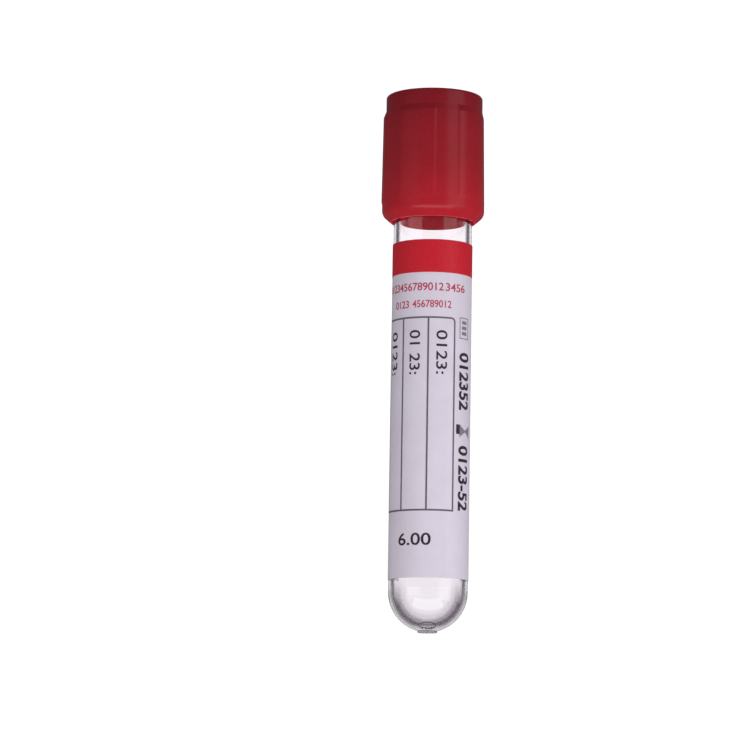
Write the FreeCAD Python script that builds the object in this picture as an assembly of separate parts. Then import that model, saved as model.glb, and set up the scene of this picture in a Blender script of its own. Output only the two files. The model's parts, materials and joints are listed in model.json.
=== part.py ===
import FreeCAD, Part
import math
import os

# Capped blood collection tube, 13 mm class, empty. Its round bottom can't stand and its side
# rolls, so it stands on its head, on the flat ring round the top of the cap.
#
# Every piece is drawn upright, with the tube's axis on Z and z = 0 at the gate mark under the
# round bottom. Angles round the axis are in degrees from the front (-Y), positive towards +X.
# stand_on_cap() then turns the upright assembly over.

# Tube: round-bottomed and thicker there, open at the mouth
TUBE_R = 6.5
WALL = 1.0
BOTTOM = 1.6
TUBE_LENGTH = 84.5
LIP_BEVEL = 0.25
GATE_R = 1.6
GATE_RISE = 0.1

# Whole closure
OVERALL = 89.3

# Cap: a plain ring above five raised panels with shallow flutes between them, a plain band and a
# thin rim. Panels and flutes both swell out of the ring over one shoulder.
RING_R = 8.02
RING_HEIGHT = 2.6
RING_ROUND = 0.45
PANELS = 5
PANEL_SPAN = 44.0
PANEL_FIRST = -22.0
PANEL_TOP_R = 8.46
PANEL_FOOT_R = 8.62
PANEL_SHOULDER = 1.1
FLUTE_TOP_R = 8.28
PANEL_FOOT = 18.2
PANEL_EASE = 0.25
BAND_R = 8.5
BAND_FOOT = 20.1
BAND_BEVEL = 0.2
BAND_BEVEL_HEIGHT = 0.5
CAP_HEIGHT = 21.3
RIM_R = 7.05
RIM_BORE_R = 6.85
ROOF = 2.0
DISH_DEPTH = 0.5
DISH_R = 6.6
PORT_R = 3.8
PORT_BEVEL = 0.3
BEAD_R = 6.72
BEAD_HEIGHT = 1.6

# Stopper: a head on the tube's mouth and a ribbed plug in its bore
HEAD_R = 7.2
PLUG_LENGTH = 9.0
PLUG_BEVEL = 0.35
PLUG_GAP = 0.04
PLUG_RELIEF = 0.22
PLUG_RIBS = 2
RIB_HEIGHT = 1.8
WELL_R = 2.9
WELL_DEPTH = 1.1
HOLLOW_R = 3.2
HOLLOW_TOP_R = 2.2
HOLLOW_DEPTH = 5.0

# Label and its print
LABEL_THICK = 0.1
LABEL_WIDTH = 25.5
LABEL_MIDDLE = -7.0
LABEL_LOW = 8.55
LABEL_HIGH = 64.15
INK = 0.03
BAND_PRINT = 5.5
FORM_LOW = 19.4
FORM_HIGH = 51.3
FORM_RIGHT = 34.0
FORM_COLUMNS = 3
FORM_COLUMN = 39.5
FORM_LINE = 0.28

# Worked out from the above
BORE_R = TUBE_R - WALL
POLE = GATE_RISE
CAP_LOW = OVERALL - CAP_HEIGHT
ROOF_UNDER = OVERALL - ROOF
BAND_LOW = OVERALL - BAND_FOOT
PANEL_LOW = OVERALL - PANEL_FOOT
SHOULDER_TOP = OVERALL - RING_HEIGHT
SHOULDER_LOW = SHOULDER_TOP - PANEL_SHOULDER
PANEL_STEP = 360.0 / PANELS
LABEL_R = TUBE_R + LABEL_THICK
LABEL_SPAN = math.degrees(LABEL_WIDTH / LABEL_R)
LABEL_START = LABEL_MIDDLE - LABEL_SPAN / 2
LABEL_END = LABEL_MIDDLE + LABEL_SPAN / 2

AXIS = FreeCAD.Vector(0, 0, 1)
CENTRE = FreeCAD.Vector(0, 0, 0)


def rounding(before, corner, after, radius):
    """Where the rounding of a profile's corner starts and ends, and its two arcs."""
    to_before = (before - corner).normalize()
    to_after = (after - corner).normalize()
    half = to_before.getAngle(to_after) / 2
    inward = (to_before + to_after).normalize()
    hub = corner + inward * (radius / math.sin(half))
    start = corner + to_before * (radius / math.tan(half))
    end = corner + to_after * (radius / math.tan(half))
    middle = hub - inward * radius
    early = hub + (start + middle - hub * 2).normalize() * radius
    late = hub + (end + middle - hub * 2).normalize() * radius
    arcs = [Part.Arc(start, early, middle), Part.Arc(middle, late, end)]
    return start, end, [arc.toShape() for arc in arcs]


def profile_face(points):
    """Closed face in the XZ half-plane from (r, z) or (r, z, rounding radius) corners."""
    corners = [FreeCAD.Vector(point[0], 0, point[1]) for point in points]
    runs = []
    for i, point in enumerate(points):
        if len(point) == 2:
            runs.append((corners[i], corners[i], []))
        else:
            after = corners[(i + 1) % len(corners)]
            runs.append(rounding(corners[i - 1], corners[i], after, point[2]))
    edges = []
    for i, (start, end, arcs) in enumerate(runs):
        gap_start = runs[i - 1][1]
        if (start - gap_start).Length > 1e-6:
            edges.append(Part.LineSegment(gap_start, start).toShape())
        edges.extend(arcs)
    return Part.Face(Part.Wire(edges))


def lathe(points):
    """Solid of revolution of a profile about the tube's axis."""
    return profile_face(points).revolve(CENTRE, AXIS, 360.0)


def sector(points, start, end):
    """The same, only from one angle to another."""
    turned = profile_face(points).revolve(CENTRE, AXIS, end - start)
    turned.rotate(CENTRE, AXIS, start - 90.0)
    return turned


def make_tube():
    wall = lathe([
        (0, POLE),
        (TUBE_R, POLE, TUBE_R),
        (TUBE_R, TUBE_LENGTH - LIP_BEVEL),
        (TUBE_R - LIP_BEVEL, TUBE_LENGTH),
        (BORE_R + LIP_BEVEL, TUBE_LENGTH),
        (BORE_R, TUBE_LENGTH - LIP_BEVEL),
        (BORE_R, POLE + BOTTOM, BORE_R),
        (0, POLE + BOTTOM),
    ])
    gate = Part.makeCylinder(GATE_R, WALL / 2)
    return wall.fuse(gate)


def plug_ribs():
    """Outline of the plug from its foot up to the head: ribs that seal, with relief between them."""
    rib_r = BORE_R - PLUG_GAP
    relief_r = rib_r - PLUG_RELIEF
    pitch = (PLUG_LENGTH - RIB_HEIGHT) / PLUG_RIBS
    outline = []
    for i in range(PLUG_RIBS):
        low = TUBE_LENGTH - PLUG_LENGTH + RIB_HEIGHT / 2 + i * pitch
        outline.append((relief_r, low))
        outline.append((rib_r, low + PLUG_RELIEF))
        outline.append((rib_r, low + RIB_HEIGHT))
        outline.append((relief_r, low + RIB_HEIGHT + PLUG_RELIEF))
    return outline


def make_stopper():
    foot = TUBE_LENGTH - PLUG_LENGTH
    relief_r = BORE_R - PLUG_GAP - PLUG_RELIEF
    return lathe([
        (0, foot + HOLLOW_DEPTH),
        (HOLLOW_TOP_R, foot + HOLLOW_DEPTH),
        (HOLLOW_R, foot),
        (relief_r - PLUG_BEVEL, foot),
        (relief_r, foot + PLUG_BEVEL),
        *plug_ribs(),
        (relief_r, TUBE_LENGTH),
        (HEAD_R, TUBE_LENGTH),
        (HEAD_R, ROOF_UNDER),
        (WELL_R + WELL_DEPTH / 2, ROOF_UNDER),
        (WELL_R, ROOF_UNDER - WELL_DEPTH),
        (0, ROOF_UNDER - WELL_DEPTH),
    ])


def cap_shell():
    """The cap without its panels: roof with the needle port, ring, flute floor, band and rim."""
    dish = OVERALL - DISH_DEPTH
    return lathe([
        (PORT_R, dish - PORT_BEVEL),
        (PORT_R + PORT_BEVEL, dish),
        (DISH_R - DISH_DEPTH, dish),
        (DISH_R, OVERALL),
        (RING_R, OVERALL, RING_ROUND),
        (RING_R, SHOULDER_TOP),
        (FLUTE_TOP_R, SHOULDER_LOW),
        (BAND_R, PANEL_LOW),
        (BAND_R, BAND_LOW + BAND_BEVEL_HEIGHT),
        (BAND_R - BAND_BEVEL, BAND_LOW),
        (RIM_R, CAP_LOW),
        (RIM_BORE_R, CAP_LOW),
        (RIM_BORE_R, TUBE_LENGTH - BEAD_HEIGHT),
        (BEAD_R, TUBE_LENGTH),
        (HEAD_R, TUBE_LENGTH),
        (HEAD_R, ROOF_UNDER),
        (PORT_R, ROOF_UNDER),
    ])


def cap_panel(middle):
    """One raised grip panel, its two long edges eased, centred on an angle."""
    core_r = (RIM_BORE_R + RING_R) / 2
    panel = sector(
        [
            (core_r, SHOULDER_TOP),
            (RING_R, SHOULDER_TOP),
            (PANEL_TOP_R, SHOULDER_LOW),
            (PANEL_FOOT_R, PANEL_LOW),
            (core_r, PANEL_LOW),
        ],
        middle - PANEL_SPAN / 2,
        middle + PANEL_SPAN / 2,
    )
    return panel.makeChamfer(PANEL_EASE, side_edges(panel))


def side_edges(panel):
    """The edges that run down both sides of a panel's outer face, shoulder included."""
    found = []
    for edge in panel.Edges:
        top, foot = (vertex.Point for vertex in edge.Vertexes)
        level = abs(top.z - foot.z) < 1e-6
        nearer = min(math.hypot(top.x, top.y), math.hypot(foot.x, foot.y))
        if nearer > RING_R - 1e-6 and not level:
            found.append(edge)
    return found


def make_cap():
    cap = cap_shell()
    for i in range(PANELS):
        cap = cap.fuse(cap_panel(PANEL_FIRST + i * PANEL_STEP))
    return cap.removeSplitter()


def skin(start, end, low, high, inner, thick):
    """A thin curved strip round the tube between two angles and two heights."""
    strip = [(inner, low), (inner + thick, low), (inner + thick, high), (inner, high)]
    return sector(strip, start, end)


def make_label():
    return skin(LABEL_START, LABEL_END, LABEL_LOW, LABEL_HIGH, TUBE_R, LABEL_THICK)


def make_label_band():
    return skin(LABEL_START, LABEL_END, LABEL_HIGH - BAND_PRINT, LABEL_HIGH, LABEL_R, INK)


def make_label_form_lines():
    """The printed form: upright lines between its columns, closed by a line above and below."""
    half = math.degrees(FORM_LINE / 2 / LABEL_R)
    left = FORM_RIGHT - FORM_COLUMNS * FORM_COLUMN
    lines = []
    for i in range(FORM_COLUMNS + 1):
        at = left + i * FORM_COLUMN
        lines.append(skin(at - half, at + half, FORM_LOW, FORM_HIGH, LABEL_R, INK))
    for level in (FORM_LOW, FORM_HIGH - FORM_LINE):
        lines.append(skin(left - half, FORM_RIGHT + half, level, level + FORM_LINE, LABEL_R, INK))
    return lines[0].multiFuse(lines[1:]).removeSplitter()


def stand_on_cap(shapes):
    """Turns the upright pieces over and centres them on the surface that they stand on."""
    for shape in shapes:
        shape.rotate(CENTRE, FreeCAD.Vector(0, 1, 0), 180.0)
    box = Part.makeCompound(shapes).optimalBoundingBox(False, False)
    shift = FreeCAD.Vector(-box.Center.x, -box.Center.y, -box.ZMin)
    for shape in shapes:
        shape.translate(shift)
    return shift


def main():
    pieces = {
        "tube": make_tube(),
        "stopper": make_stopper(),
        "cap": make_cap(),
        "label": make_label(),
        "label_band": make_label_band(),
        "label_form_lines": make_label_form_lines(),
    }
    shift = stand_on_cap(list(pieces.values()))
    print(f"axis at x {shift.x:.4f}, y {shift.y:.4f}, gate mark at z {shift.z:.4f} mm")
    os.makedirs("parts", exist_ok=True)
    for name, shape in pieces.items():
        print(f"{name}: valid {shape.isValid()}, solids {len(shape.Solids)}, {shape.Volume:.1f} mm3")
        shape.exportStep(f"parts/{name}.step")


main()
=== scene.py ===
"""Looks of the capped blood collection tube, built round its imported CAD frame.

Every piece is drawn in an upright frame, in mm: z is the height above the mark under the round
bottom, and angles are in degrees from the front, positive towards the right. The part itself
stands on its head, so UPRIGHT turns the pieces over, and they are scaled to metres.
"""
import json
import math

import bmesh
import bpy
from mathutils import Matrix, Vector


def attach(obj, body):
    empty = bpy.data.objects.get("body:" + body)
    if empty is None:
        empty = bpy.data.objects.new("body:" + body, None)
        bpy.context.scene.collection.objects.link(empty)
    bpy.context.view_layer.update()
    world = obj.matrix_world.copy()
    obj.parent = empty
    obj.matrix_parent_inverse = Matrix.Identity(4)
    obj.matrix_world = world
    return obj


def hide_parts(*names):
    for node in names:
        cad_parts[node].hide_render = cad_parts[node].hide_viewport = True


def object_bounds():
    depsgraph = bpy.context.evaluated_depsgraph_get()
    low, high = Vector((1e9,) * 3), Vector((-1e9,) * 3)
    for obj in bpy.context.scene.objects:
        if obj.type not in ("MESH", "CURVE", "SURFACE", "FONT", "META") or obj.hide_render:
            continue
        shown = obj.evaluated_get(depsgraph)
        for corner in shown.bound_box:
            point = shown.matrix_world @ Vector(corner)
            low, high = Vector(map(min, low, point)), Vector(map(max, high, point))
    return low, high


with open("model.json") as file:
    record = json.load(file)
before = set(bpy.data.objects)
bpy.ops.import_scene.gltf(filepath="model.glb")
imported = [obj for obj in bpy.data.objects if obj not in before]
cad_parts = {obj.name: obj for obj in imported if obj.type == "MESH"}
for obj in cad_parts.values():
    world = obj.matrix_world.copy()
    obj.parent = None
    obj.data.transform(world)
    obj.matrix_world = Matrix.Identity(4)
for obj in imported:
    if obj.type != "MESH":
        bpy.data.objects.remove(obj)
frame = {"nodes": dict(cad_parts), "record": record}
cad_low, cad_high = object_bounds()

MM = 0.001
NEAR = 0.02  # mm: radii and heights closer than this count as the same
COLUMNS = 192  # round every turned piece
SHARP = 35.0  # degrees: edges that turn more than this keep a crisp line


def mount(name):
    """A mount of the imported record."""
    return next(m for m in frame["record"]["mounts"] if m["name"] == name)


PORT = mount("needle_port")
AXIS_X, AXIS_Y = PORT["pos_m"][:2]
UPRIGHT = Matrix.Translation((AXIS_X, AXIS_Y, cad_high.z)) @ Matrix.Rotation(math.pi, 4, "Y")


# ---------------------------------------------------------------- sizes, read off the frame

def measured(node):
    """A CAD node's vertices as (radius, angle, height) in the upright frame."""
    to_upright = UPRIGHT.inverted()
    points = [to_upright @ vertex.co / MM for vertex in frame["nodes"][node].data.vertices]
    return [(math.hypot(p.x, p.y), math.degrees(math.atan2(p.x, -p.y)), p.z) for p in points]


def height_range(points):
    """Lowest and highest of the measured points."""
    found = [height for _, _, height in points]
    return min(found), max(found)


def radii_at(points, height):
    """Smallest and largest radius among the measured points at one height."""
    found = [radius for radius, _, level in points if abs(level - height) < NEAR]
    return min(found), max(found)


def bare_strip(points):
    """The widest range of angles with no points in it, as (start, end)."""
    angles = sorted(angle for _, angle, _ in points)
    pairs = list(zip(angles, angles[1:] + [angles[0] + 360.0]))
    return max(pairs, key=lambda pair: pair[1] - pair[0])


tube_points = measured("tube")
cap_points = measured("cap")
stopper_points = measured("stopper")
label_points = measured("label")
form_points = measured("label_form_lines")

TUBE_LENGTH = height_range(tube_points)[1]
TUBE_R = max(radius for radius, _, _ in tube_points)
BORE_R = min(radius for radius, _, level in tube_points if level > TUBE_LENGTH / 2)
GATE_R = radii_at(tube_points, 0.0)[1]
DOME_Z = min(level for radius, _, level in tube_points if radius > TUBE_R - NEAR / 4)
BORE_DOME_Z = max(level for radius, _, level in tube_points if radius < NEAR) + BORE_R

CAP_LOW, CAP_TOP = height_range(cap_points)
PLUG_FOOT, HEAD_TOP = height_range(stopper_points)
LABEL_LOW, LABEL_HIGH = height_range(label_points)
LABEL_R = max(radius for radius, _, _ in label_points)
PRINT_R = max(radius for radius, _, _ in form_points)
INK = PRINT_R - LABEL_R
BAND_PRINT_LOW = height_range(measured("label_band"))[0]
BARE_START, BARE_END = bare_strip(label_points)
LABEL_START = BARE_END - 360.0
LABEL_END = BARE_START
FORM_LOW, FORM_HIGH = height_range(form_points)
FORM_LEFT = min(angle for _, angle, _ in form_points)
FORM_RIGHT = max(angle for _, angle, _ in form_points)

# Moulding of the tube, beyond what the frame shows
LIP_SHARE = 0.42  # of the wall, rounded on each side of the lip
GATE_ROUND = 0.06
GATE_SIDE = 0.25
DOME_STEPS = 44

# Heights down the cap from its top
RING_HEIGHT = 2.6
PANEL_SHOULDER = 1.1
PANEL_FOOT = 18.2
BAND_FOOT = 20.1
BAND_BEVEL_HEIGHT = 0.5
ROOF = 2.0
DISH_DEPTH = 0.5
BEAD_HEIGHT = 1.6
SHOULDER_TOP = CAP_TOP - RING_HEIGHT
SHOULDER_LOW = SHOULDER_TOP - PANEL_SHOULDER
PANEL_LOW = CAP_TOP - PANEL_FOOT
BAND_LOW = CAP_TOP - BAND_FOOT
ROOF_UNDER = CAP_TOP - ROOF
DISH_Z = CAP_TOP - DISH_DEPTH
RIM_BORE_R, RIM_R = radii_at(cap_points, CAP_LOW)
RING_R = radii_at(cap_points, SHOULDER_TOP)[1]
FLUTE_TOP_R, PANEL_TOP_R = radii_at(cap_points, SHOULDER_LOW)
PANEL_FOOT_R = radii_at(cap_points, PANEL_LOW)[1]
BAND_R = radii_at(cap_points, BAND_LOW + BAND_BEVEL_HEIGHT)[1]
DISH_R = radii_at(cap_points, CAP_TOP)[0]
PORT_R = PORT["dims"]["r_mm"]
BEAD_R, HEAD_SEAT_R = radii_at(cap_points, TUBE_LENGTH)

# Roundings of the cap, which the solid has as bevels or leaves sharp
PORT_BEVEL = 0.3
PORT_ROUND = 0.1
DISH_FLOOR_ROUND = 0.2
DISH_EDGE_ROUND = 0.15
RING_ROUND = 0.45
FLUTE_SHOULDER_ROUND = 0.5
FLUTE_TOP_ROUND = 1.5
PANEL_SHOULDER_ROUND = 0.25
PANEL_TOP_ROUND = 0.5
FOOT_ROUND = 0.6
FOOT_ABOVE = 0.35  # a panel starts to run in to the band this far above its foot
FOOT_BELOW = 0.25  # and ends this far below it
GRIP_MARGIN = 0.5  # the fluted rows run on this far past the shoulder and the panels' foot
BAND_LIFT = 0.06
BAND_ROUND = 1.5
RIM_ROUND = 0.08
RIM_BORE_ROUND = 0.06
BEAD_ROUND = 0.3

# Grip panels round the cap, in degrees
PANELS = 5
PANEL_STEP = 360.0 / PANELS
PANEL_FIRST = -22.0
PANEL_SPAN = 44.0
PANEL_EDGE = 2.8  # half the width of the smooth step at a panel's edge
EDGE_COLUMNS = 5  # on each side of that edge
PLAIN_STEP = 2.0  # between columns away from the edges

# Stopper
HEAD_R = max(radius for radius, _, _ in stopper_points)
RIB_R = max(radius for radius, _, level in stopper_points if level < TUBE_LENGTH - 1.0)
RELIEF = 0.22  # depth beside the plug's ribs, and the height of their sloping sides
RIBS = 2
RIB_HEIGHT = 1.8
HOLLOW_R = 3.2
HOLLOW_TOP_R = 2.2
HOLLOW_DEPTH = 5.0
WELL_R = 2.9
WELL_DEPTH = 1.1
RELIEF_ROUND = 0.1
RIB_ROUND = 0.15
WELL_EDGE_ROUND = 0.2
HOLLOW_EDGE_ROUND = 0.2
INNER_ROUND = 0.3  # at the floor of the well and the top of the hollow
END_ROUND = 0.35  # at both ends of the stopper, outside

# Label
LABEL_STEP = 2.0  # degrees between its columns
LABEL_LIFT = 0.005  # off the tube's wall
LABEL_ROUND = 0.03

# Ruled form
STRIP = 0.35  # widest flat piece of print before it is bent on the label
FORM_LINE = 0.28
FORM_COLUMNS = 3
FORM_CORNER = 0.75
QUARTER = [math.radians(90.0 * i / 6) for i in range(7)]  # round the form's one round corner

# Lines of red figures: first and last angle, base line, height, text
RED_BOLD = 0.012
RED_LINES = (
    (-84.0, 15.7, 55.58, 1.34, "0123456789012"),
    (18.8, 52.7, 55.58, 1.34, "3456"),
    (-62.9, -35.7, 52.78, 1.24, "0123"),
    (-29.7, 27.9, 52.78, 1.24, "456789012"),
)

# Heads of the form's columns, read down the tube: angle of the base line, top, length, text
HEADING_HEIGHT = 1.86
HEADING_BOLD = 0.008
HEADINGS = (
    (6.1, 49.05, 7.25, "0123:"),
    (-33.4, 49.06, 7.3, "01 23:"),
    (-74.0, 49.07, 7.1, "0123:"),
)

# Bold figures beside the form: first and last angle, top, length, text
SIDE_BOLD = 0.028
SIDE_FIGURES = (
    (43.5, 66.4, 45.7, 9.5, "012352"),
    (43.6, 66.6, 30.35, 10.7, "0123-52"),
)

# Number under the form: first and last angle, base line, height, text
NUMBER_BOLD = 0.01
NUMBER = (-48.8, 1.8, 13.8, 2.0, "6.00")

# Dark block between the bold figures: first and last angle, top, length
BLOCK = (38.9, 45.7, 33.76, 1.56)
BLOCK_ROUND = 0.06

# Outlined box with bars, and hourglass: first and last angle, top, length
SIGN_LINE = 0.14
BOX = (43.4, 63.7, 51.5, 3.54)
BOX_BARS = 3
BOX_MARGIN = 0.55
BAR_LENGTH = 0.55
BAR_PITCH = 0.9
BAR_ROUND = 0.08
GLASS = (45.7, 70.3, 33.8, 2.1)
GLASS_INSET = 0.15
GLASS_WAIST = 0.1

# Colours
# Red of the cap, with painted shade: darker towards the ring at the top, brighter towards the skirt as if
# lit through the thin wall
RED_PAINTED_SHADE = (0.205, 0.008, 0.015)
RED_HALF_SHADED = (0.285, 0.0105, 0.019)
RED_PAINTED_LIT = (0.43, 0.013, 0.024)
# Inside of the cap: a brighter copy of the red, painted light that stands in for light coming through the
# wall
RED_INSIDE_PAINTED_GLOW = (0.97, 0.028, 0.06)
RUBBER = (0.085, 0.078, 0.078)
RUBBER_PALE = (0.115, 0.105, 0.103)
PAPER = (0.67, 0.615, 0.715)
PAPER_SHADE = (0.64, 0.585, 0.68)
RED_INK = (0.52, 0.009, 0.021)
RED_INK_THIN = (0.57, 0.014, 0.030)
PALE_RED_INK = (0.45, 0.045, 0.085)
PALE_RED_INK_THIN = (0.52, 0.09, 0.14)
DARK_INK = (0.028, 0.017, 0.03)
DARK_INK_THIN = (0.06, 0.045, 0.065)
LINE_INK = (0.115, 0.09, 0.125)
LINE_INK_THIN = (0.17, 0.14, 0.185)
GREY_INK = (0.20, 0.165, 0.225)
GREY_INK_THIN = (0.27, 0.23, 0.30)
CLEAR = (0.945, 0.92, 0.945)
CLEAR_PAINTED_DARK_EDGE = (0.027, 0.02, 0.03)
CLEAR_RIM = (0.93, 0.92, 0.95)
CLEAR_GATE = (0.50, 0.47, 0.51)
BORE_GLINT = (0.15, 0.15, 0.15)
FLOOR_GREY = (0.5, 0.5, 0.5)

# Painted darkening of the clear wall's skin, standing in for dark surroundings seen through it, from where
# it is seen square on (0) to where it is seen edge on (1)
SIDE_PAINTED_DARKENING = (
    (0.00, CLEAR),
    (0.41, CLEAR),
    (0.52, CLEAR_PAINTED_DARK_EDGE),
    (0.61, CLEAR_PAINTED_DARK_EDGE),
    (0.75, CLEAR_RIM),
)
# Painted darkening of the round bottom's skin, in bands by how aslant it is seen
DOME_PAINTED_DARKENING = (
    (0.12, CLEAR),
    (0.22, (0.56, 0.51, 0.57)),
    (0.32, (0.16, 0.13, 0.165)),
    (0.42, (0.030, 0.022, 0.033)),
    (0.50, (0.034, 0.026, 0.037)),
    (0.60, (0.16, 0.14, 0.165)),
    (0.72, (0.57, 0.55, 0.59)),
    (1.00, (0.84, 0.82, 0.86)),
)

# Heights up the round bottom between which one tint turns into the next
GATE_TINT_END = 0.2
DOME_TINTS_START = 1.2
DOME_TINTS_END = DOME_Z * 0.62
SIDE_TINTS_START = DOME_Z * 1.55

# Finish
PLASTIC_IOR = 1.49
CLEAR_IOR = 1.57
CAP_GLOSS = 0.25
PAPER_GLOSS = 0.25
CAP_MIDDLE = 80.0  # height where the cap has its middle colour

# Studio: strengths of the world, and lengths in metres
WORLD_MIRRORED = 0.10
WORLD_LIGHT = 0.48
LAMP_DISTANCE = 0.7
MIDDLE = (cad_low + cad_high) / 2
FLOOR_R = 8.0
FLOOR_COLUMNS = 64
FLOOR_GLOW = 0.77

# Camera: lens in mm, distance in metres, angles in degrees, and the aim's offset in mm
VIEW_LENS = 162.74
VIEW_DISTANCE = 0.545
VIEW_RISE = 8.2
VIEW_ROLL = 0.955
VIEW_SIDE = -10.894
VIEW_LIFT = -0.64


# ---------------------------------------------------------------- mesh helpers

def arc_points(hub, start, end, radius):
    """Points of the short arc round a hub, from one direction to another."""
    turn = start.angle(end)
    steps = max(2, math.ceil(math.degrees(turn) / 10.0))
    points = []
    for i in range(steps + 1):
        share = i / steps
        away = start * math.sin((1 - share) * turn) + end * math.sin(share * turn)
        points.append(hub + away.normalized() * radius)
    return points


def rounded(corners, closed=False):
    """Profile points from (r, z) corners. A third number rounds the corner with that radius."""
    points = []
    for i, corner in enumerate(corners):
        here = Vector(corner[:2])
        at_end = not closed and i in (0, len(corners) - 1)
        if len(corner) == 2 or at_end:
            points.append(here)
            continue
        before = (Vector(corners[i - 1][:2]) - here).normalized()
        after = (Vector(corners[(i + 1) % len(corners)][:2]) - here).normalized()
        half = before.angle(after) / 2
        hub = here + (before + after).normalized() * (corner[2] / math.sin(half))
        reach = corner[2] / math.tan(half)
        start = (here + before * reach - hub).normalized()
        end = (here + after * reach - hub).normalized()
        points.extend(arc_points(hub, start, end, corner[2]))
    return [(point.x, point.y) for point in points]


def polar(radius, angle, height):
    """Point in the upright frame from a radius, an angle from the front and a height."""
    turn = math.radians(angle)
    return (radius * math.sin(turn), -radius * math.cos(turn), height)


def bridge(bm, rows, closed=False):
    """Faces between each ring of vertices and the next, and from the last to the first if closed."""
    pairs = list(zip(rows, rows[1:]))
    if closed:
        pairs.append((rows[-1], rows[0]))
    made = []
    for low, high in pairs:
        count = max(len(low), len(high))
        for i in range(count):
            j = (i + 1) % count
            corners = (low[i % len(low)], low[j % len(low)], high[j % len(high)], high[i % len(high)])
            made.append(bm.faces.new(list(dict.fromkeys(corners))))
    return made


def turned_rows(bm, profile):
    """One ring of vertices for each (r, z) point. A radius of 0 becomes a pole."""
    angles = [i * 360.0 / COLUMNS for i in range(COLUMNS)]
    rows = []
    for radius, height in profile:
        around = angles if radius > NEAR / 10 else angles[:1]
        rows.append([bm.verts.new(polar(radius, angle, height)) for angle in around])
    return rows


def wrap(profile, start, end):
    """A closed (r, z) profile swept round the axis from one angle to another."""
    bm = bmesh.new()
    count = math.ceil((end - start) / LABEL_STEP)
    rows = []
    for i in range(count + 1):
        angle = start + (end - start) * i / count
        rows.append([bm.verts.new(polar(radius, angle, height)) for radius, height in profile])
    bridge(bm, rows)
    bm.faces.new(rows[0])
    bm.faces.new(rows[-1])
    return bm


def strip_profile(low, high, inner, outer, edge):
    """Section of a thin strip on the tube, its two outer edges softened."""
    return rounded([(inner, low), (outer, low, edge), (outer, high, edge), (inner, high)], closed=True)


def finish_piece(name, bm, body, nodes, materials):
    """Turns a mesh drawn upright in mm into a piece that rides on a body and stands for nodes."""
    bmesh.ops.recalc_face_normals(bm, faces=bm.faces)
    mesh = bpy.data.meshes.new(name)
    bm.to_mesh(mesh)
    bm.free()
    mesh.transform(Matrix.Scale(MM, 4))
    mesh.shade_smooth()
    mesh.set_sharp_from_angle(angle=math.radians(SHARP))
    for material in materials:
        mesh.materials.append(material)
    piece = bpy.data.objects.new(name, mesh)
    bpy.context.scene.collection.objects.link(piece)
    piece.matrix_world = UPRIGHT
    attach(piece, body)
    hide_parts(*nodes)
    return piece


# ---------------------------------------------------------------- material helpers

# Sockets of a mix node that take colours
MIX_SHARE = 0
MIX_FIRST = 6
MIX_SECOND = 7
MIX_RESULT = 2


class Finish:
    """A node material with one Principled shader, and short ways to feed it."""

    def __init__(self, name):
        self.material = bpy.data.materials.new(name)
        self.material.use_nodes = True
        self.tree = self.material.node_tree
        self.shader = self.tree.nodes["Principled BSDF"]
        self.output = self.tree.nodes["Material Output"]
        self.place = self.node("ShaderNodeTexCoord").outputs["Object"]

    def node(self, kind, **settings):
        """A new node of a kind, with its settings."""
        made = self.tree.nodes.new(kind)
        for key, value in settings.items():
            setattr(made, key, value)
        return made

    def feed(self, socket, value):
        """Sets a socket to a number or colour, or links another node's output to it."""
        if isinstance(value, bpy.types.NodeSocket):
            self.tree.links.new(value, socket)
        elif isinstance(value, tuple):
            socket.default_value = (*value, 1.0)
        else:
            socket.default_value = value

    def set(self, **values):
        """Feeds the shader's inputs by name, with _ for the spaces."""
        for key, value in values.items():
            self.feed(self.shader.inputs[key.replace("_", " ")], value)

    def noise(self, size, detail=3.0, stretch=(1.0, 1.0, 1.0)):
        """Noise whose grain is about that many mm across, longer along a stretched axis."""
        mapping = self.node("ShaderNodeMapping")
        mapping.inputs["Scale"].default_value = [1.0 / s for s in stretch]
        self.feed(mapping.inputs["Vector"], self.place)
        texture = self.node("ShaderNodeTexNoise")
        texture.inputs["Scale"].default_value = 1.0 / (size * MM)
        texture.inputs["Detail"].default_value = detail
        self.feed(texture.inputs["Vector"], mapping.outputs["Vector"])
        return texture.outputs["Fac"]

    def remap(self, value, low, high, to_low, to_high):
        """A value's range stretched to another range, smooth at both ends."""
        made = self.node("ShaderNodeMapRange", interpolation_type="SMOOTHSTEP", clamp=True)
        made.inputs["From Min"].default_value = low
        made.inputs["From Max"].default_value = high
        made.inputs["To Min"].default_value = to_low
        made.inputs["To Max"].default_value = to_high
        self.feed(made.inputs["Value"], value)
        return made.outputs["Result"]

    def height_share(self, low, high):
        """0 below one height of the upright part and 1 above another, in mm."""
        split = self.node("ShaderNodeSeparateXYZ")
        self.feed(split.inputs["Vector"], self.place)
        return self.remap(split.outputs["Z"], low * MM, high * MM, 0.0, 1.0)

    def blend(self, share, first, second):
        """Mix of two colours, each a colour or another node's output, by a share."""
        made = self.node("ShaderNodeMix", data_type="RGBA")
        self.feed(made.inputs[MIX_SHARE], share)
        self.feed(made.inputs[MIX_FIRST], first)
        self.feed(made.inputs[MIX_SECOND], second)
        return made.outputs[MIX_RESULT]

    def bump(self, height, strength, distance):
        """Bump from a height, its full relief that many mm."""
        made = self.node("ShaderNodeBump")
        made.inputs["Strength"].default_value = strength
        made.inputs["Distance"].default_value = distance * MM
        self.feed(made.inputs["Height"], height)
        self.feed(self.shader.inputs["Normal"], made.outputs["Normal"])

    def ramp(self, value, stops):
        """Colour ramp over a value, from (position, colour) stops."""
        made = self.node("ShaderNodeValToRGB")
        made.color_ramp.interpolation = "EASE"
        elements = made.color_ramp.elements
        while len(elements) < len(stops):
            elements.new(1.0)
        for element, (position, colour) in zip(elements, stops):
            element.position = position
            element.color = (*colour, 1.0)
        self.feed(made.inputs["Fac"], value)
        return made.outputs["Color"]


# ---------------------------------------------------------------- materials

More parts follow.
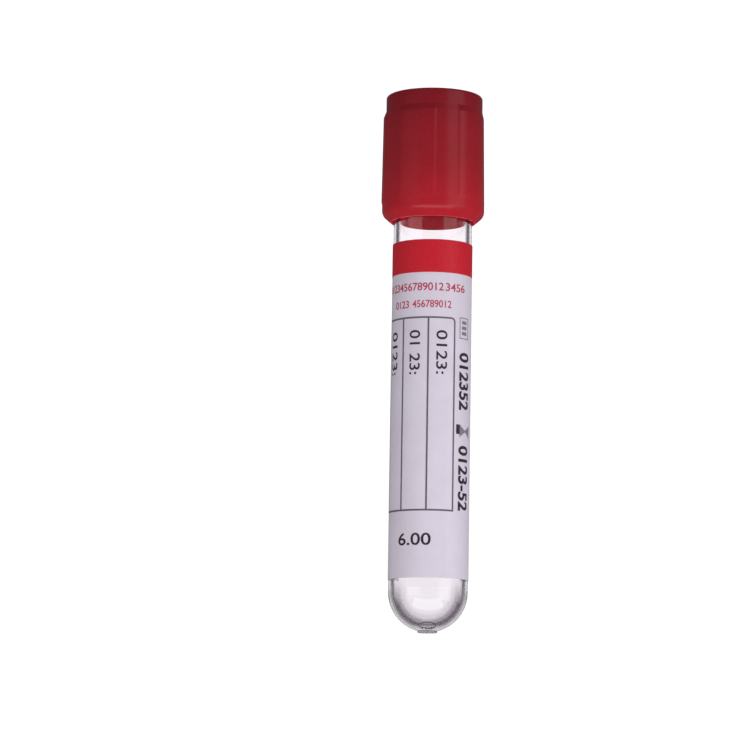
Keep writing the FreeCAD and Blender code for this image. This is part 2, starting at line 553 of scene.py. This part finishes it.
def cap_finish(name, skirt, middle, top):
    """Semi-gloss moulded plastic with painted shade: darker towards the ring at the top, lighter towards
    the skirt as if light shone through it.
    """
    made = Finish(name)
    skirt = made.blend(made.height_share(CAP_LOW, CAP_MIDDLE), skirt, middle)
    body = made.blend(made.height_share(CAP_MIDDLE, CAP_TOP), skirt, top)
    cloud = made.remap(made.noise(3.0, detail=4.0), 0.35, 0.65, to_low=0.0, to_high=0.12)
    made.set(Base_Color=made.blend(cloud, body, top))
    made.set(Roughness=made.remap(made.noise(0.5, detail=5.0), 0.3, 0.7, to_low=0.20, to_high=0.28))
    made.set(IOR=PLASTIC_IOR, Specular_IOR_Level=CAP_GLOSS)
    made.bump(made.noise(0.35, detail=4.0), strength=0.25, distance=0.02)
    return made.material


def rubber_finish():
    """Matt grey rubber with a fine grain."""
    made = Finish("stopper_rubber")
    grain = made.noise(0.25, detail=4.0)
    made.set(Base_Color=made.blend(made.noise(2.0), RUBBER, RUBBER_PALE))
    made.set(Roughness=made.remap(grain, 0.3, 0.7, to_low=0.5, to_high=0.62))
    made.bump(grain, strength=0.4, distance=0.03)
    return made.material


def label_finish():
    """Smooth coated paper: faint clouding, and fibres that run up the label."""
    made = Finish("label_paper")
    fibre = made.noise(0.14, detail=4.0, stretch=(1.0, 1.0, 3.0))
    cloud = made.remap(made.noise(4.0, detail=3.0), 0.3, 0.7, to_low=0.0, to_high=1.0)
    made.set(Base_Color=made.blend(cloud, PAPER_SHADE, PAPER), Specular_IOR_Level=PAPER_GLOSS)
    made.set(Roughness=made.remap(fibre, 0.3, 0.7, to_low=0.46, to_high=0.56))
    made.bump(fibre, strength=0.2, distance=0.01)
    return made.material


def ink_finish(name, colour, thin):
    """Printed ink: a little thinner in places, so that the paper's fibres tell."""
    made = Finish(name)
    fibre = made.noise(0.14, detail=4.0, stretch=(1.0, 1.0, 3.0))
    bare = made.remap(fibre, 0.35, 0.75, to_low=0.0, to_high=1.0)
    made.set(Base_Color=made.blend(bare, colour, thin), Specular_IOR_Level=PAPER_GLOSS)
    made.set(Roughness=made.remap(fibre, 0.3, 0.7, to_low=0.36, to_high=0.46))
    made.bump(fibre, strength=0.15, distance=0.008)
    return made.material


def painted_skin_darkening(made):
    """Colour of the clear wall's outer skin, with painted dark edges: it darkens where it is seen aslant,
    standing in for dark surroundings seen through the wall, and near the flat gate mark it is tinted grey
    instead.
    """
    aslant = made.node("ShaderNodeLayerWeight").outputs["Facing"]
    side = made.ramp(aslant, SIDE_PAINTED_DARKENING)
    dome = made.ramp(aslant, DOME_PAINTED_DARKENING)
    tint = made.blend(made.height_share(DOME_TINTS_END, SIDE_TINTS_START), dome, side)
    tint = made.blend(made.height_share(GATE_TINT_END, DOME_TINTS_START), CLEAR_GATE, tint)
    leaving = made.node("ShaderNodeNewGeometry").outputs["Backfacing"]
    return made.blend(leaving, tint, CLEAR)


def let_lamps_through(made):
    """Makes the material transparent to shadow rays and to light on its way between surfaces."""
    path = made.node("ShaderNodeLightPath")
    passing = made.node("ShaderNodeMath", operation="MAXIMUM")
    made.feed(passing.inputs[0], path.outputs["Is Shadow Ray"])
    made.feed(passing.inputs[1], path.outputs["Is Diffuse Ray"])
    through = made.node("ShaderNodeBsdfTransparent")
    mix = made.node("ShaderNodeMixShader")
    made.feed(mix.inputs["Fac"], passing.outputs["Value"])
    made.feed(mix.inputs[1], made.shader.outputs["BSDF"])
    made.feed(mix.inputs[2], through.outputs["BSDF"])
    made.feed(made.output.inputs["Surface"], mix.outputs["Shader"])


def clear_finish(name, outer):
    """Clear moulded plastic, for the wall's outer skin, which carries painted dark edges, or for the skin
    of its bore.
    """
    made = Finish(name)
    made.set(IOR=CLEAR_IOR, Transmission_Weight=1.0)
    made.set(Roughness=made.remap(made.noise(1.2), 0.3, 0.7, to_low=0.0, to_high=0.012))
    if outer:
        made.set(Base_Color=painted_skin_darkening(made))
    else:
        made.set(Base_Color=CLEAR, Specular_Tint=BORE_GLINT)
    made.bump(made.noise(5.0, detail=2.0, stretch=(1.0, 1.0, 4.0)), strength=0.1, distance=0.05)
    let_lamps_through(made)
    return made.material


# ---------------------------------------------------------------- tube, stopper and cap

def quarter_round(radius, centre_z, start, end):
    """Arc of a dome's profile, from one angle above straight down to another, in degrees."""
    points = []
    for i in range(DOME_STEPS + 1):
        turn = math.radians(start + (end - start) * i / DOME_STEPS)
        points.append((radius * math.sin(turn), centre_z - radius * math.cos(turn)))
    return points


def make_tube():
    """Clear wall with a rounded lip, a round bottom and the flat mark of its moulding gate.

    A row of vertices close to each end of the straight wall keeps its shading straight.
    """
    gate_turn = math.degrees(math.asin(GATE_R / TUBE_R))
    lip = (TUBE_R - BORE_R) * LIP_SHARE
    outer = rounded([(0.0, 0.0), (GATE_R, 0.0, GATE_ROUND), (GATE_R, GATE_SIDE)])[:-1]
    outer += quarter_round(TUBE_R, DOME_Z, gate_turn, 90.0)
    outer += rounded([
        (TUBE_R, DOME_Z),
        (TUBE_R, DOME_Z + lip),
        (TUBE_R, TUBE_LENGTH - 2 * lip),
        (TUBE_R, TUBE_LENGTH, lip),
        (BORE_R, TUBE_LENGTH, lip),
        (BORE_R, BORE_DOME_Z),
    ])[1:-1]
    inner = [(BORE_R, TUBE_LENGTH - 2 * lip), (BORE_R, BORE_DOME_Z + lip)]
    inner += quarter_round(BORE_R, BORE_DOME_Z, 90.0, 0.0)
    bm = bmesh.new()
    rows = turned_rows(bm, outer + inner)
    bridge(bm, rows[:len(outer) + 1])
    for face in bridge(bm, rows[len(outer):]):
        face.material_index = 1
    materials = [clear_finish("clear_outer", outer=True), clear_finish("clear_inner", outer=False)]
    return finish_piece("clear_tube", bm, "vessel", ["tube"], materials)


def plug_outline():
    """The plug's outside from its foot to the head: sealing ribs with relief between them."""
    relief_r = RIB_R - RELIEF
    pitch = (TUBE_LENGTH - PLUG_FOOT - RIB_HEIGHT) / RIBS
    outline = [(relief_r, PLUG_FOOT, END_ROUND)]
    for i in range(RIBS):
        low = PLUG_FOOT + RIB_HEIGHT / 2 + i * pitch
        outline.append((relief_r, low, RELIEF_ROUND))
        outline.append((RIB_R, low + RELIEF, RIB_ROUND))
        outline.append((RIB_R, low + RIB_HEIGHT, RIB_ROUND))
        outline.append((relief_r, low + RIB_HEIGHT + RELIEF, RELIEF_ROUND))
    return outline


def make_stopper():
    """Rubber stopper: a head on the tube's mouth, and a hollow ribbed plug in its bore."""
    profile = rounded([
        (0.0, PLUG_FOOT + HOLLOW_DEPTH),
        (HOLLOW_TOP_R, PLUG_FOOT + HOLLOW_DEPTH, INNER_ROUND),
        (HOLLOW_R, PLUG_FOOT, HOLLOW_EDGE_ROUND),
        *plug_outline(),
        (RIB_R - RELIEF, TUBE_LENGTH, RELIEF_ROUND),
        (HEAD_R, TUBE_LENGTH, RIB_ROUND),
        (HEAD_R, HEAD_TOP, END_ROUND),
        (WELL_R + WELL_DEPTH / 2, HEAD_TOP, WELL_EDGE_ROUND),
        (WELL_R, HEAD_TOP - WELL_DEPTH, INNER_ROUND),
        (0.0, HEAD_TOP - WELL_DEPTH),
    ])
    bm = bmesh.new()
    bridge(bm, turned_rows(bm, profile))
    return finish_piece("rubber_stopper", bm, "closure", ["stopper"], [rubber_finish()])


def radius_on(profile, height):
    """Radius of a profile that runs steadily downwards, at a height."""
    for (r_high, high), (r_low, low) in zip(profile, profile[1:]):
        if low <= height <= high:
            share = (high - height) / max(high - low, 1e-9)
            return r_high + (r_low - r_high) * share
    return profile[-1][0]


def grip_rows():
    """(flute radius, panel radius, height) down the fluted wall of the cap."""
    top = (RING_R, SHOULDER_TOP + GRIP_MARGIN)
    foot = (BAND_R, PANEL_LOW - GRIP_MARGIN)
    flute = rounded([
        top,
        (RING_R, SHOULDER_TOP, FLUTE_SHOULDER_ROUND),
        (FLUTE_TOP_R, SHOULDER_LOW, FLUTE_TOP_ROUND),
        (BAND_R, PANEL_LOW, FOOT_ROUND),
        foot,
    ])
    panel = rounded([
        top,
        (RING_R, SHOULDER_TOP, PANEL_SHOULDER_ROUND),
        (PANEL_TOP_R, SHOULDER_LOW, PANEL_TOP_ROUND),
        (PANEL_FOOT_R, PANEL_LOW + FOOT_ABOVE, FOOT_ROUND),
        (BAND_R, PANEL_LOW - FOOT_BELOW, FOOT_ROUND),
        foot,
    ])
    levels = sorted({height for _, height in flute + panel}, reverse=True)
    return [(radius_on(flute, z), radius_on(panel, z), z) for z in levels]


def cap_rows():
    """(flute radius, panel radius, height) once round the cap's closed section."""
    above = rounded([
        (PORT_R, DISH_Z),
        (PORT_R, DISH_Z - PORT_BEVEL),
        (PORT_R + PORT_BEVEL, DISH_Z, PORT_ROUND),
        (DISH_R - DISH_DEPTH, DISH_Z, DISH_FLOOR_ROUND),
        (DISH_R, CAP_TOP, DISH_EDGE_ROUND),
        (RING_R, CAP_TOP, RING_ROUND),
        (RING_R, SHOULDER_TOP + GRIP_MARGIN),
    ])[1:-1]
    below = rounded([
        (BAND_R, PANEL_LOW - GRIP_MARGIN),
        (BAND_R, BAND_LOW + BAND_LIFT, BAND_ROUND),
        (RIM_R, CAP_LOW, RIM_ROUND),
        (RIM_BORE_R, CAP_LOW, RIM_BORE_ROUND),
        (RIM_BORE_R, TUBE_LENGTH - BEAD_HEIGHT, BEAD_ROUND),
        (BEAD_R, TUBE_LENGTH),
        (HEAD_SEAT_R, TUBE_LENGTH),
        (HEAD_SEAT_R, ROOF_UNDER),
        (PORT_R, ROOF_UNDER),
        (PORT_R, DISH_Z),
    ])[1:-1]
    plain_above = [(radius, radius, z) for radius, z in above]
    plain_below = [(radius, radius, z) for radius, z in below]
    return plain_above + grip_rows() + plain_below


def cap_angles():
    """Angles of the cap's columns: close together at the panels' edges, and even between them."""
    angles = []
    for i in range(PANELS):
        start = PANEL_FIRST + i * PANEL_STEP - PANEL_SPAN / 2
        for edge, plain in ((start, PANEL_SPAN), (start + PANEL_SPAN, PANEL_STEP - PANEL_SPAN)):
            angles += [edge + PANEL_EDGE * (k / EDGE_COLUMNS - 1) for k in range(2 * EDGE_COLUMNS + 1)]
            span = plain - 2 * PANEL_EDGE
            count = round(span / PLAIN_STEP)
            angles += [edge + PANEL_EDGE + span * k / count for k in range(1, count)]
    return angles


def panel_share(angle):
    """1 on a grip panel and 0 in a flute, with a smooth step at the panel's edges."""
    from_middle = (angle - PANEL_FIRST + PANEL_STEP / 2) % PANEL_STEP - PANEL_STEP / 2
    inward = PANEL_SPAN / 2 + PANEL_EDGE - abs(from_middle)
    share = min(1.0, max(0.0, inward / (2 * PANEL_EDGE)))
    return share * share * (3 - 2 * share)


def make_cap():
    """The moulded cap: dished top with the needle port, ring, five grip panels, band and rim."""
    bm = bmesh.new()
    columns = [(angle, panel_share(angle)) for angle in cap_angles()]
    rows = []
    for flute_r, panel_r, z in cap_rows():
        row = [polar(flute_r + (panel_r - flute_r) * share, angle, z) for angle, share in columns]
        rows.append([bm.verts.new(point) for point in row])
    for face in bridge(bm, rows, closed=True):
        centre = face.calc_center_median()
        if math.hypot(centre.x, centre.y) < HEAD_SEAT_R + NEAR and centre.z < ROOF_UNDER + NEAR:
            face.material_index = 1
    # The inside faces get the brighter copy of the red, painted light in place of light through the wall
    materials = [
        cap_finish("red_plastic", RED_PAINTED_LIT, RED_HALF_SHADED, RED_PAINTED_SHADE),
        cap_finish("red_plastic_inside_painted_glow", RED_INSIDE_PAINTED_GLOW, RED_PAINTED_LIT, RED_HALF_SHADED),
    ]
    return finish_piece("moulded_cap", bm, "closure", ["cap"], materials)


# ---------------------------------------------------------------- label and its print

def make_label():
    """The paper, wrapped most of the way round the tube."""
    profile = strip_profile(LABEL_LOW, LABEL_HIGH, TUBE_R + LABEL_LIFT, LABEL_R, LABEL_ROUND)
    bm = wrap(profile, LABEL_START, LABEL_END)
    return finish_piece("paper_label", bm, "vessel", ["label"], [label_finish()])


def make_band(material):
    """The red field along the label's upper edge."""
    profile = strip_profile(BAND_PRINT_LOW, LABEL_HIGH - INK, LABEL_R, PRINT_R, INK / 3)
    bm = wrap(profile, LABEL_START, LABEL_END)
    return finish_piece("printed_band", bm, "vessel", ["label_band"], [material])


def around(angle):
    """Distance round the label's face from the front, in mm, for an angle in degrees."""
    return math.radians(angle) * LABEL_R


def level_run(angle, base):
    """Places print that reads round the tube, from an angle and the height of its base line."""
    return lambda along, up: (around(angle) + along, base + up)


def turned_run(angle, top):
    """Places print that reads down the tube, from the angle of its base line and its first height."""
    return lambda along, up: (around(angle) + up, top - along)


def add_shape(bm, place, outline):
    """A flat shape from (along, up) corners."""
    bm.faces.new([bm.verts.new((*place(along, up), 0.0)) for along, up in outline])


def add_bar(bm, place, start, end, low, high, corner=0.0):
    """A flat bar with softened corners."""
    if corner <= 0.0:
        add_shape(bm, place, [(start, low), (end, low), (end, high), (start, high)])
        return
    add_shape(bm, place, rounded(
        [(start, low, corner), (end, low, corner), (end, high, corner), (start, high, corner)],
        closed=True,
    ))


def add_figures(bm, place, text, length, height, bold):
    """Plain figures that fill a length and a height."""
    curve = bpy.data.curves.new("figures", "FONT")
    curve.body = text
    curve.offset = bold
    source = bpy.data.objects.new("figures", curve)
    bpy.context.scene.collection.objects.link(source)
    shape = bpy.data.meshes.new_from_object(source.evaluated_get(bpy.context.evaluated_depsgraph_get()))
    bpy.data.objects.remove(source)
    bpy.data.curves.remove(curve)
    xs = [vertex.co.x for vertex in shape.vertices]
    ys = [vertex.co.y for vertex in shape.vertices]
    wide = length / (max(xs) - min(xs))
    tall = height / (max(ys) - min(ys))
    corners = []
    for vertex in shape.vertices:
        spot = place((vertex.co.x - min(xs)) * wide, (vertex.co.y - min(ys)) * tall)
        corners.append(bm.verts.new((*spot, 0.0)))
    for polygon in shape.polygons:
        bm.faces.new([corners[i] for i in polygon.vertices])
    bpy.data.meshes.remove(shape)


def bend_on_label(bm):
    """Cuts flat print into narrow strips, gives it the ink's thickness and bends it on the label."""
    reach = [vertex.co.x for vertex in bm.verts]
    for i in range(math.ceil(min(reach) / STRIP), math.ceil(max(reach) / STRIP)):
        parts = bm.verts[:] + bm.edges[:] + bm.faces[:]
        bmesh.ops.bisect_plane(bm, geom=parts, plane_co=(i * STRIP, 0.0, 0.0), plane_no=(1.0, 0.0, 0.0))
    raised = bmesh.ops.extrude_face_region(bm, geom=bm.faces[:], use_keep_orig=True)
    for item in raised["geom"]:
        if isinstance(item, bmesh.types.BMVert):
            item.co.z = INK
    for vertex in bm.verts:
        angle = math.degrees(vertex.co.x / LABEL_R)
        vertex.co = polar(LABEL_R + vertex.co.z, angle, vertex.co.y)
    return bm


def make_form(material):
    """The ruled form: upright lines between its columns, closed above and below, one corner round."""
    bm = bmesh.new()
    half = math.degrees(FORM_LINE / 2 / LABEL_R)
    left = FORM_LEFT + half
    width = around(FORM_RIGHT - half) - around(left)
    place = level_run(left, FORM_LOW)
    high = FORM_HIGH - FORM_LOW
    for i in range(FORM_COLUMNS + 1):
        at = width * i / FORM_COLUMNS
        top = high - FORM_CORNER if i == FORM_COLUMNS else high - FORM_LINE
        add_bar(bm, place, at - FORM_LINE / 2, at + FORM_LINE / 2, FORM_LINE, top)
    add_bar(bm, place, -FORM_LINE / 2, width + FORM_LINE / 2, 0.0, FORM_LINE)
    add_bar(bm, place, -FORM_LINE / 2, width + FORM_LINE / 2 - FORM_CORNER, high - FORM_LINE, high)
    hub = (width + FORM_LINE / 2 - FORM_CORNER, high - FORM_CORNER)
    corner = [(hub[0] + math.sin(t) * FORM_CORNER, hub[1] + math.cos(t) * FORM_CORNER) for t in QUARTER]
    inside = FORM_CORNER - FORM_LINE
    corner += [(hub[0] + math.sin(t) * inside, hub[1] + math.cos(t) * inside) for t in QUARTER[::-1]]
    add_shape(bm, place, corner)
    bend_on_label(bm)
    return finish_piece("form_lines", bm, "vessel", ["label_form_lines"], [material])


def make_red_figures(material):
    """Two lines of plain figures above the form."""
    bm = bmesh.new()
    for first, last, base, high, text in RED_LINES:
        add_figures(bm, level_run(first, base), text, around(last) - around(first), high, RED_BOLD)
    bend_on_label(bm)
    return finish_piece("red_figures", bm, "vessel", ["label_band"], [material])


def make_headings(material):
    """Plain figures at the head of the form's columns, which read down the tube."""
    bm = bmesh.new()
    for base, top, length, text in HEADINGS:
        add_figures(bm, turned_run(base, top), text, length, HEADING_HEIGHT, HEADING_BOLD)
    bend_on_label(bm)
    return finish_piece("form_headings", bm, "vessel", ["label_form_lines"], [material])


def make_figures(material):
    """Bold figures and a dark block beside the form, and one plain number under it."""
    bm = bmesh.new()
    for first, last, top, length, text in SIDE_FIGURES:
        add_figures(bm, turned_run(first, top), text, length, around(last) - around(first), SIDE_BOLD)
    first, last, base, high, text = NUMBER
    add_figures(bm, level_run(first, base), text, around(last) - around(first), high, NUMBER_BOLD)
    first, last, top, length = BLOCK
    block = turned_run(first, top)
    add_bar(bm, block, 0.0, length, 0.0, around(last) - around(first), BLOCK_ROUND)
    bend_on_label(bm)
    return finish_piece("plain_figures", bm, "vessel", ["label_form_lines"], [material])


def add_box(bm):
    """An outlined box with plain bars in it."""
    first, last, top, length = BOX
    high = around(last) - around(first)
    box = turned_run(first, top)
    add_bar(bm, box, 0.0, length, 0.0, SIGN_LINE)
    add_bar(bm, box, 0.0, length, high - SIGN_LINE, high)
    add_bar(bm, box, 0.0, SIGN_LINE, SIGN_LINE, high - SIGN_LINE)
    add_bar(bm, box, length - SIGN_LINE, length, SIGN_LINE, high - SIGN_LINE)
    for i in range(BOX_BARS):
        start = BOX_MARGIN + i * BAR_PITCH
        add_bar(bm, box, start, start + BAR_LENGTH, BOX_MARGIN, high - BOX_MARGIN, BAR_ROUND)


def add_hourglass(bm):
    """Two bars and two wedges that meet at a waist."""
    first, last, top, length = GLASS
    high = around(last) - around(first)
    glass = turned_run(first, top)
    add_bar(bm, glass, 0.0, length, 0.0, SIGN_LINE)
    add_bar(bm, glass, 0.0, length, high - SIGN_LINE, high)
    start, end = GLASS_INSET, length - GLASS_INSET
    before, after = length / 2 - GLASS_WAIST, length / 2 + GLASS_WAIST
    low, middle, up = SIGN_LINE, high / 2, high - SIGN_LINE
    add_shape(bm, glass, [(start, low), (end, low), (after, middle), (before, middle)])
    add_shape(bm, glass, [(start, up), (before, middle), (after, middle), (end, up)])


def make_signs(material):
    """Small plain shapes between the figures."""
    bm = bmesh.new()
    add_box(bm)
    add_hourglass(bm)
    bend_on_label(bm)
    return finish_piece("small_signs", bm, "vessel", ["label_form_lines"], [material])


# ---------------------------------------------------------------- stage, light and camera

def upright_direction(angle, rise):
    """Direction from the object in the upright frame, turned into the row frame."""
    turn, lift = math.radians(angle), math.radians(rise)
    way = Vector((math.sin(turn) * math.cos(lift), -math.cos(turn) * math.cos(lift), math.sin(lift)))
    return UPRIGHT.to_3x3() @ way


def add_softbox(name, angle, rise, radiance, width, tall, mirrored=True, lighting=True):
    """A rectangular lamp that faces the middle of the object. Either effect can be left out."""
    lamp = bpy.data.lights.new(name, "AREA")
    lamp.shape = "RECTANGLE"
    lamp.size = width
    lamp.size_y = tall
    lamp.energy = radiance * math.pi * width * tall
    lit = bpy.data.objects.new(name, lamp)
    bpy.context.scene.collection.objects.link(lit)
    way = upright_direction(angle, rise)
    lit.location = MIDDLE + way * LAMP_DISTANCE
    lit.rotation_mode = "QUATERNION"
    lit.rotation_quaternion = way.to_track_quat("Z", "Y")
    lit.visible_glossy = mirrored
    lit.visible_diffuse = lighting
    return lit


def add_lamps():
    """Soft lamps on both sides and low in front, and a thin strip for the clear neck to mirror."""
    add_softbox("right_softbox", angle=52.0, rise=8.0, radiance=0.95, width=0.54, tall=0.90)
    add_softbox("left_strip", angle=-55.0, rise=12.2, radiance=0.95, width=0.56, tall=0.03, lighting=False)
    add_softbox("left_fill", angle=-55.0, rise=0.0, radiance=0.33, width=0.56, tall=0.70, mirrored=False)
    add_softbox("key_light", angle=46.0, rise=0.0, radiance=0.58, width=0.60, tall=0.90, mirrored=False)
    add_softbox("low_softbox", angle=0.0, rise=-42.0, radiance=2.0, width=1.20, tall=0.42)


def light_world():
    """Even soft light, and a white backdrop for the camera and for the view through the clear wall."""
    world = bpy.data.worlds.new("studio")
    bpy.context.scene.world = world
    world.use_nodes = True
    nodes, links = world.node_tree.nodes, world.node_tree.links
    path = nodes.new("ShaderNodeLightPath")
    strength = None
    for ray, level in (
        ("Camera", 1.0),
        ("Transmission", 1.0),
        ("Glossy", WORLD_MIRRORED),
        ("Diffuse", WORLD_LIGHT),
    ):
        share = nodes.new("ShaderNodeMath")
        share.operation = "MULTIPLY"
        links.new(path.outputs[f"Is {ray} Ray"], share.inputs[0])
        share.inputs[1].default_value = level
        if strength:
            larger = nodes.new("ShaderNodeMath")
            larger.operation = "MAXIMUM"
            links.new(strength, larger.inputs[0])
            links.new(share.outputs["Value"], larger.inputs[1])
            share = larger
        strength = share.outputs["Value"]
    links.new(strength, nodes["Background"].inputs["Strength"])
    nodes["Background"].inputs["Color"].default_value = (1.0, 1.0, 1.0, 1.0)


def floor_finish():
    """Grey under the lamps, with a glow that makes it white to the camera where no shadow falls."""
    made = Finish("white_floor")
    made.set(Base_Color=FLOOR_GREY, Roughness=0.9, Specular_IOR_Level=0.0)
    path = made.node("ShaderNodeLightPath")
    seen = made.node("ShaderNodeMath", operation="MAXIMUM")
    made.feed(seen.inputs[0], path.outputs["Is Camera Ray"])
    made.feed(seen.inputs[1], path.outputs["Is Transmission Ray"])
    glow = made.node("ShaderNodeMath", operation="MULTIPLY")
    glow.inputs[1].default_value = FLOOR_GLOW
    made.feed(glow.inputs[0], seen.outputs["Value"])
    made.set(Emission_Color=(1.0, 1.0, 1.0), Emission_Strength=glow.outputs["Value"])
    return made.material


def make_floor():
    """White floor that keeps a faint shadow. Mirror rays and lamps pass it, as if it were small."""
    bm = bmesh.new()
    corners = [polar(FLOOR_R, 360.0 * i / FLOOR_COLUMNS, 0.0) for i in range(FLOOR_COLUMNS)]
    bm.faces.new([bm.verts.new(corner) for corner in corners])
    mesh = bpy.data.meshes.new("floor")
    bm.to_mesh(mesh)
    bm.free()
    floor = bpy.data.objects.new("floor", mesh)
    bpy.context.scene.collection.objects.link(floor)
    floor.location = (0.0, 0.0, cad_low.z)
    floor.visible_glossy = False
    floor.visible_shadow = False
    mesh.materials.append(floor_finish())


def make_camera():
    """A long lens, a little below the upright tube and looking up, and turned a little."""
    rise, roll = math.radians(VIEW_RISE), math.radians(VIEW_ROLL)
    forward = Vector((0.0, math.cos(rise), math.sin(rise)))
    level = Vector((1.0, 0.0, 0.0))
    upward = Vector((0.0, -math.sin(rise), math.cos(rise)))
    right = level * math.cos(roll) + upward * math.sin(roll)
    top = upward * math.cos(roll) - level * math.sin(roll)
    aim = Vector((VIEW_SIDE, 0.0, CAP_TOP / 2 + VIEW_LIFT)) * MM
    place = Matrix((right, top, -forward)).transposed().to_4x4()
    place.translation = aim - forward * VIEW_DISTANCE
    data = bpy.data.cameras.new("camera")
    data.lens = VIEW_LENS
    camera = bpy.data.objects.new("camera", data)
    bpy.context.scene.collection.objects.link(camera)
    camera.matrix_world = UPRIGHT @ place
    bpy.context.scene.camera = camera


def main():
    """The camera, the ten pieces and the studio round them."""
    red_ink = ink_finish("red_ink", RED_INK, RED_INK_THIN)
    dark_ink = ink_finish("dark_ink", DARK_INK, DARK_INK_THIN)
    line_ink = ink_finish("line_ink", LINE_INK, LINE_INK_THIN)
    grey_ink = ink_finish("grey_ink", GREY_INK, GREY_INK_THIN)
    make_camera()
    make_tube()
    make_stopper()
    make_cap()
    make_label()
    make_band(red_ink)
    make_form(line_ink)
    make_red_figures(ink_finish("pale_red_ink", PALE_RED_INK, PALE_RED_INK_THIN))
    make_headings(dark_ink)
    make_figures(dark_ink)
    make_signs(grey_ink)
    make_floor()
    light_world()
    add_lamps()
    bpy.context.scene.view_settings.view_transform = "Standard"


main()
